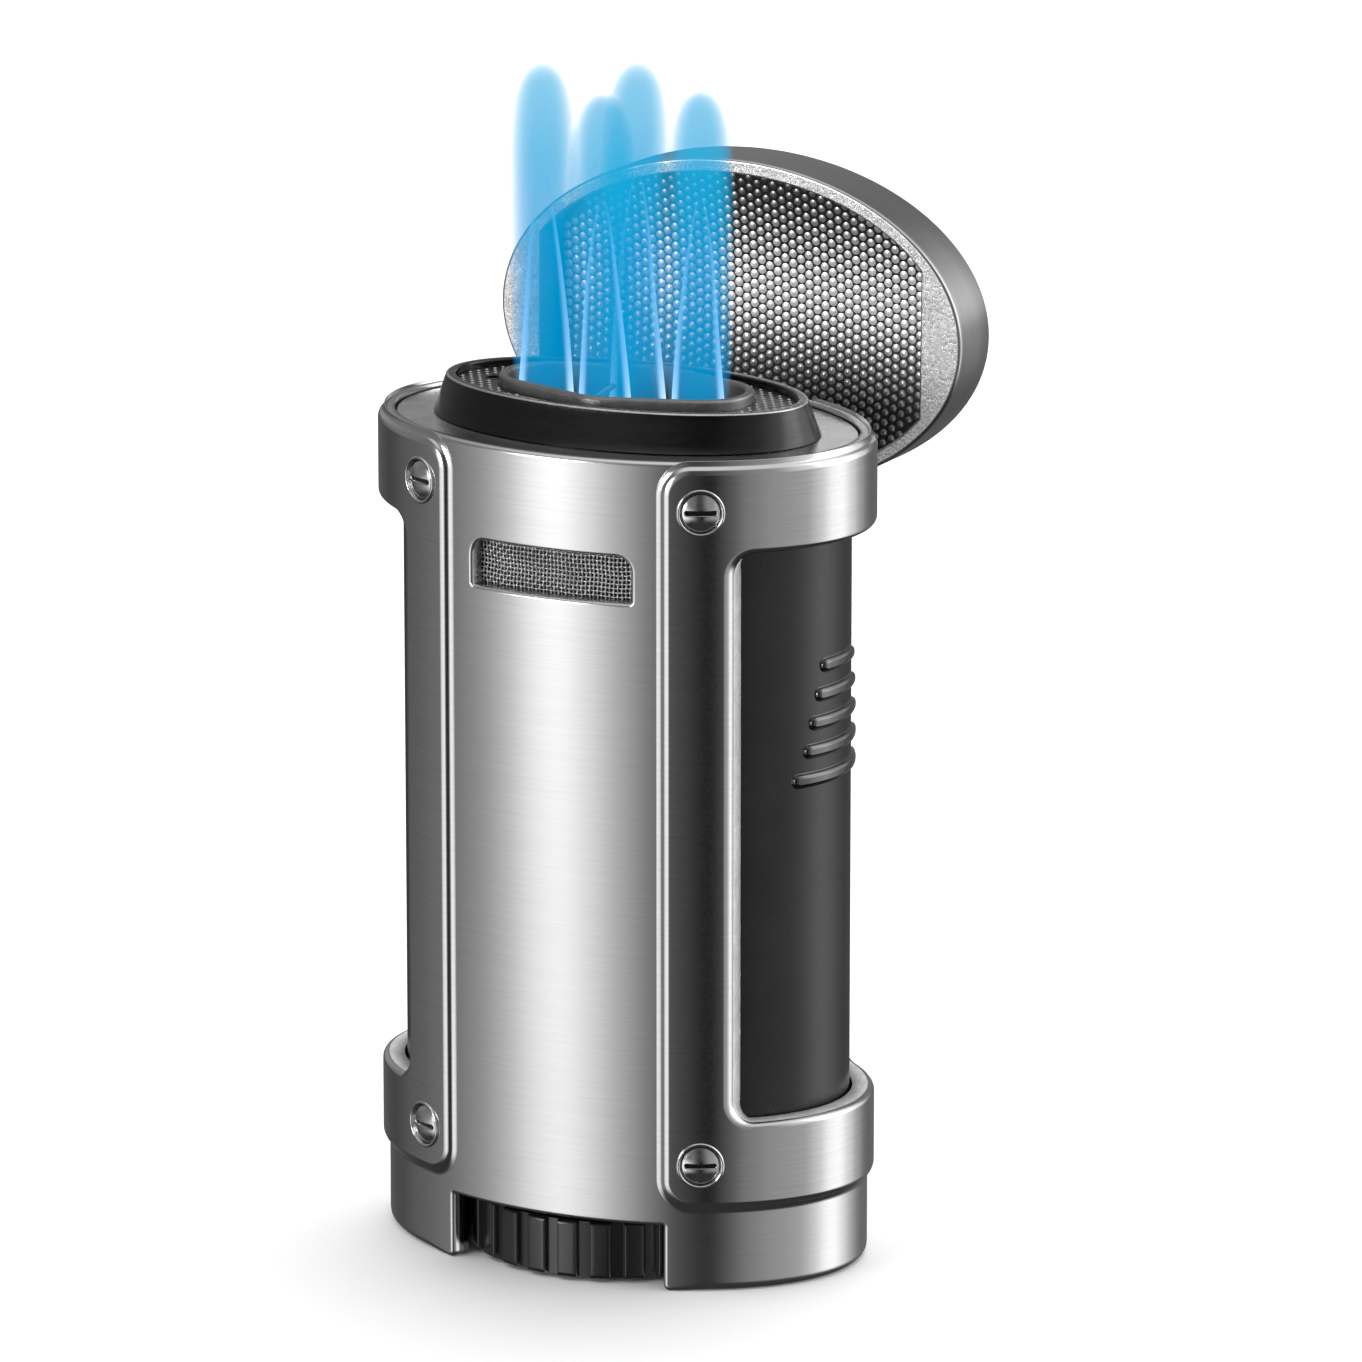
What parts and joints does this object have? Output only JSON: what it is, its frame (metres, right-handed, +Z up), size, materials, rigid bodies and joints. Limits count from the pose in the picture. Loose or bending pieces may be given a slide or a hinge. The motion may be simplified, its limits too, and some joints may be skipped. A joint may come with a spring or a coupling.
{
  "type": "pocket torch lighter",
  "caption": "Oval gas torch lighter with a flip lid, ribbed side trigger, collared jet burner and a knurled flame-height wheel at the foot.",
  "frame": {"origin": "centre of the oval foot, on the surface it stands on", "axes": "+Z up through the burner, +X towards the trigger, -Y towards the air slot, lid hinge at +Y"},
  "size_m": [0.044, 0.0404, 0.0895],
  "materials": {
    "brushed_steel": "horizontally brushed satin",
    "satin_nickel": "satin plated",
    "polished_screw": "polished",
    "black_plastic": "satin black",
    "black_metal": "satin black coating",
    "cast_metal": "fine rough cast",
    "gunmetal": "dark oxidised",
    "dark_mesh": "woven wire",
    "wire_mesh": "woven wire",
    "lid_metal": "satin",
    "dimpled_plate": "domed dots",
    "brass": "turned",
    "steel": "plain",
    "spring_steel": "drawn wire",
    "tank_plastic": "translucent nylon",
    "grey_plastic": "moulded",
    "ceramic": "glazed",
    "rubber": "moulded",
    "red_wire": "wire sheath"
  },
  "bodies": {
    "body": {"body_shell": "brushed_steel", "side_frame_left": "satin_nickel", "side_frame_right": "satin_nickel", "frame_screws_front": "polished_screw", "frame_screws_rear": "polished_screw", "base_plate": "black_plastic", "base_screws": "steel", "lower_chassis": "grey_plastic", "side_cover_left": "black_plastic", "trigger_pivot_pin": "steel", "trigger_torsion_spring": "spring_steel", "top_plate": "cast_metal", "burner_collar": "black_metal", "collar_screen": "dark_mesh", "flame_guard": "gunmetal", "air_intake_mesh": "wire_mesh", "fuel_tank": "tank_plastic", "tank_seal": "rubber", "tank_cap": "tank_plastic", "regulator_bushing": "brass", "regulator_seal": "rubber", "refill_valve_body": "brass", "refill_valve_seal": "rubber", "refill_valve_spring": "spring_steel", "outlet_valve_body": "brass", "outlet_valve_seal": "rubber", "valve_spring": "spring_steel", "igniter_cradle": "grey_plastic", "gas_lever_pin": "steel", "latch_pin": "steel", "piezo_housing": "black_plastic", "high_voltage_wire": "red_wire", "gas_tube": "tank_plastic", "burner_block": "brass", "burner_screws": "steel", "jet_nozzles": "brass", "electrode_insulator": "ceramic", "ignition_electrode": "steel", "lid_hinge_pin": "steel", "lid_torsion_spring": "spring_steel"},
    "lid": {"lid_shell": "lid_metal", "lid_heat_plate": "dimpled_plate", "lid_hinge_bracket": "steel", "lid_bracket_rivets": "steel"},
    "trigger": {"trigger_panel": "black_plastic"},
    "plunger": {"piezo_plunger": "grey_plastic"},
    "lever": {"gas_lever": "steel"},
    "stem": {"valve_stem": "brass"},
    "latch": {"lid_latch": "steel"},
    "wheel": {"flame_adjust_wheel": "black_metal", "wheel_screw": "steel", "regulator_spindle": "brass"},
    "refill": {"refill_valve_stem": "brass"}
  },
  "joints": [
    {"name": "lid_hinge", "type": "hinge", "parent": "body", "child": "lid", "pos_m": [0, 0.01142, 0.06391], "axis": [1, 0, 0], "range_deg": [0, 91], "stiffness_Nm_per_rad": 0.004, "springref_deg": -57.3},
    {"name": "trigger_press", "type": "hinge", "parent": "body", "child": "trigger", "pos_m": [0.0158, 0, 0.0145], "axis": [0, -1, 0], "range_deg": [0, 4.5], "stiffness_Nm_per_rad": 0.5, "springref_deg": -4.58},
    {"name": "plunger_slide", "type": "slide", "parent": "body", "child": "plunger", "axis": [-1, 0, 0], "range_m": [0, 0.00263]},
    {"name": "gas_lever_turn", "type": "hinge", "parent": "body", "child": "lever", "pos_m": [0.0056, -0.0054, 0.046], "axis": [0, 1, 0], "range_deg": [0, 10.96]},
    {"name": "valve_stem_lift", "type": "slide", "parent": "body", "child": "stem", "axis": [0, 0, 1], "range_m": [0, 0.00107], "deforming": ["valve_spring"]},
    {"name": "latch_release", "type": "hinge", "parent": "body", "child": "latch", "pos_m": [0, 0.0072, 0.058], "axis": [1, 0, 0], "range_deg": [0, 7.21]},
    {"name": "flame_wheel_turn", "type": "hinge", "parent": "body", "child": "wheel", "pos_m": [0, -0.0014, 0], "axis": [0, 0, 1], "range_deg": [-150, 150]},
    {"name": "refill_stem_push", "type": "slide", "parent": "body", "child": "refill", "axis": [0, 0, 1], "range_m": [0, 0.0012], "stiffness_N_per_m": 400, "springref_m": -0.0005, "deforming": ["refill_valve_spring"]}
  ],
  "couplings": [
    {"joint": "plunger_slide", "follows": "trigger_press", "m_per_rad": 0.0335},
    {"joint": "gas_lever_turn", "follows": "trigger_press", "ratio": 2.434},
    {"joint": "valve_stem_lift", "follows": "trigger_press", "m_per_rad": 0.0136},
    {"joint": "latch_release", "follows": "trigger_press", "ratio": 1.6}
  ]
}
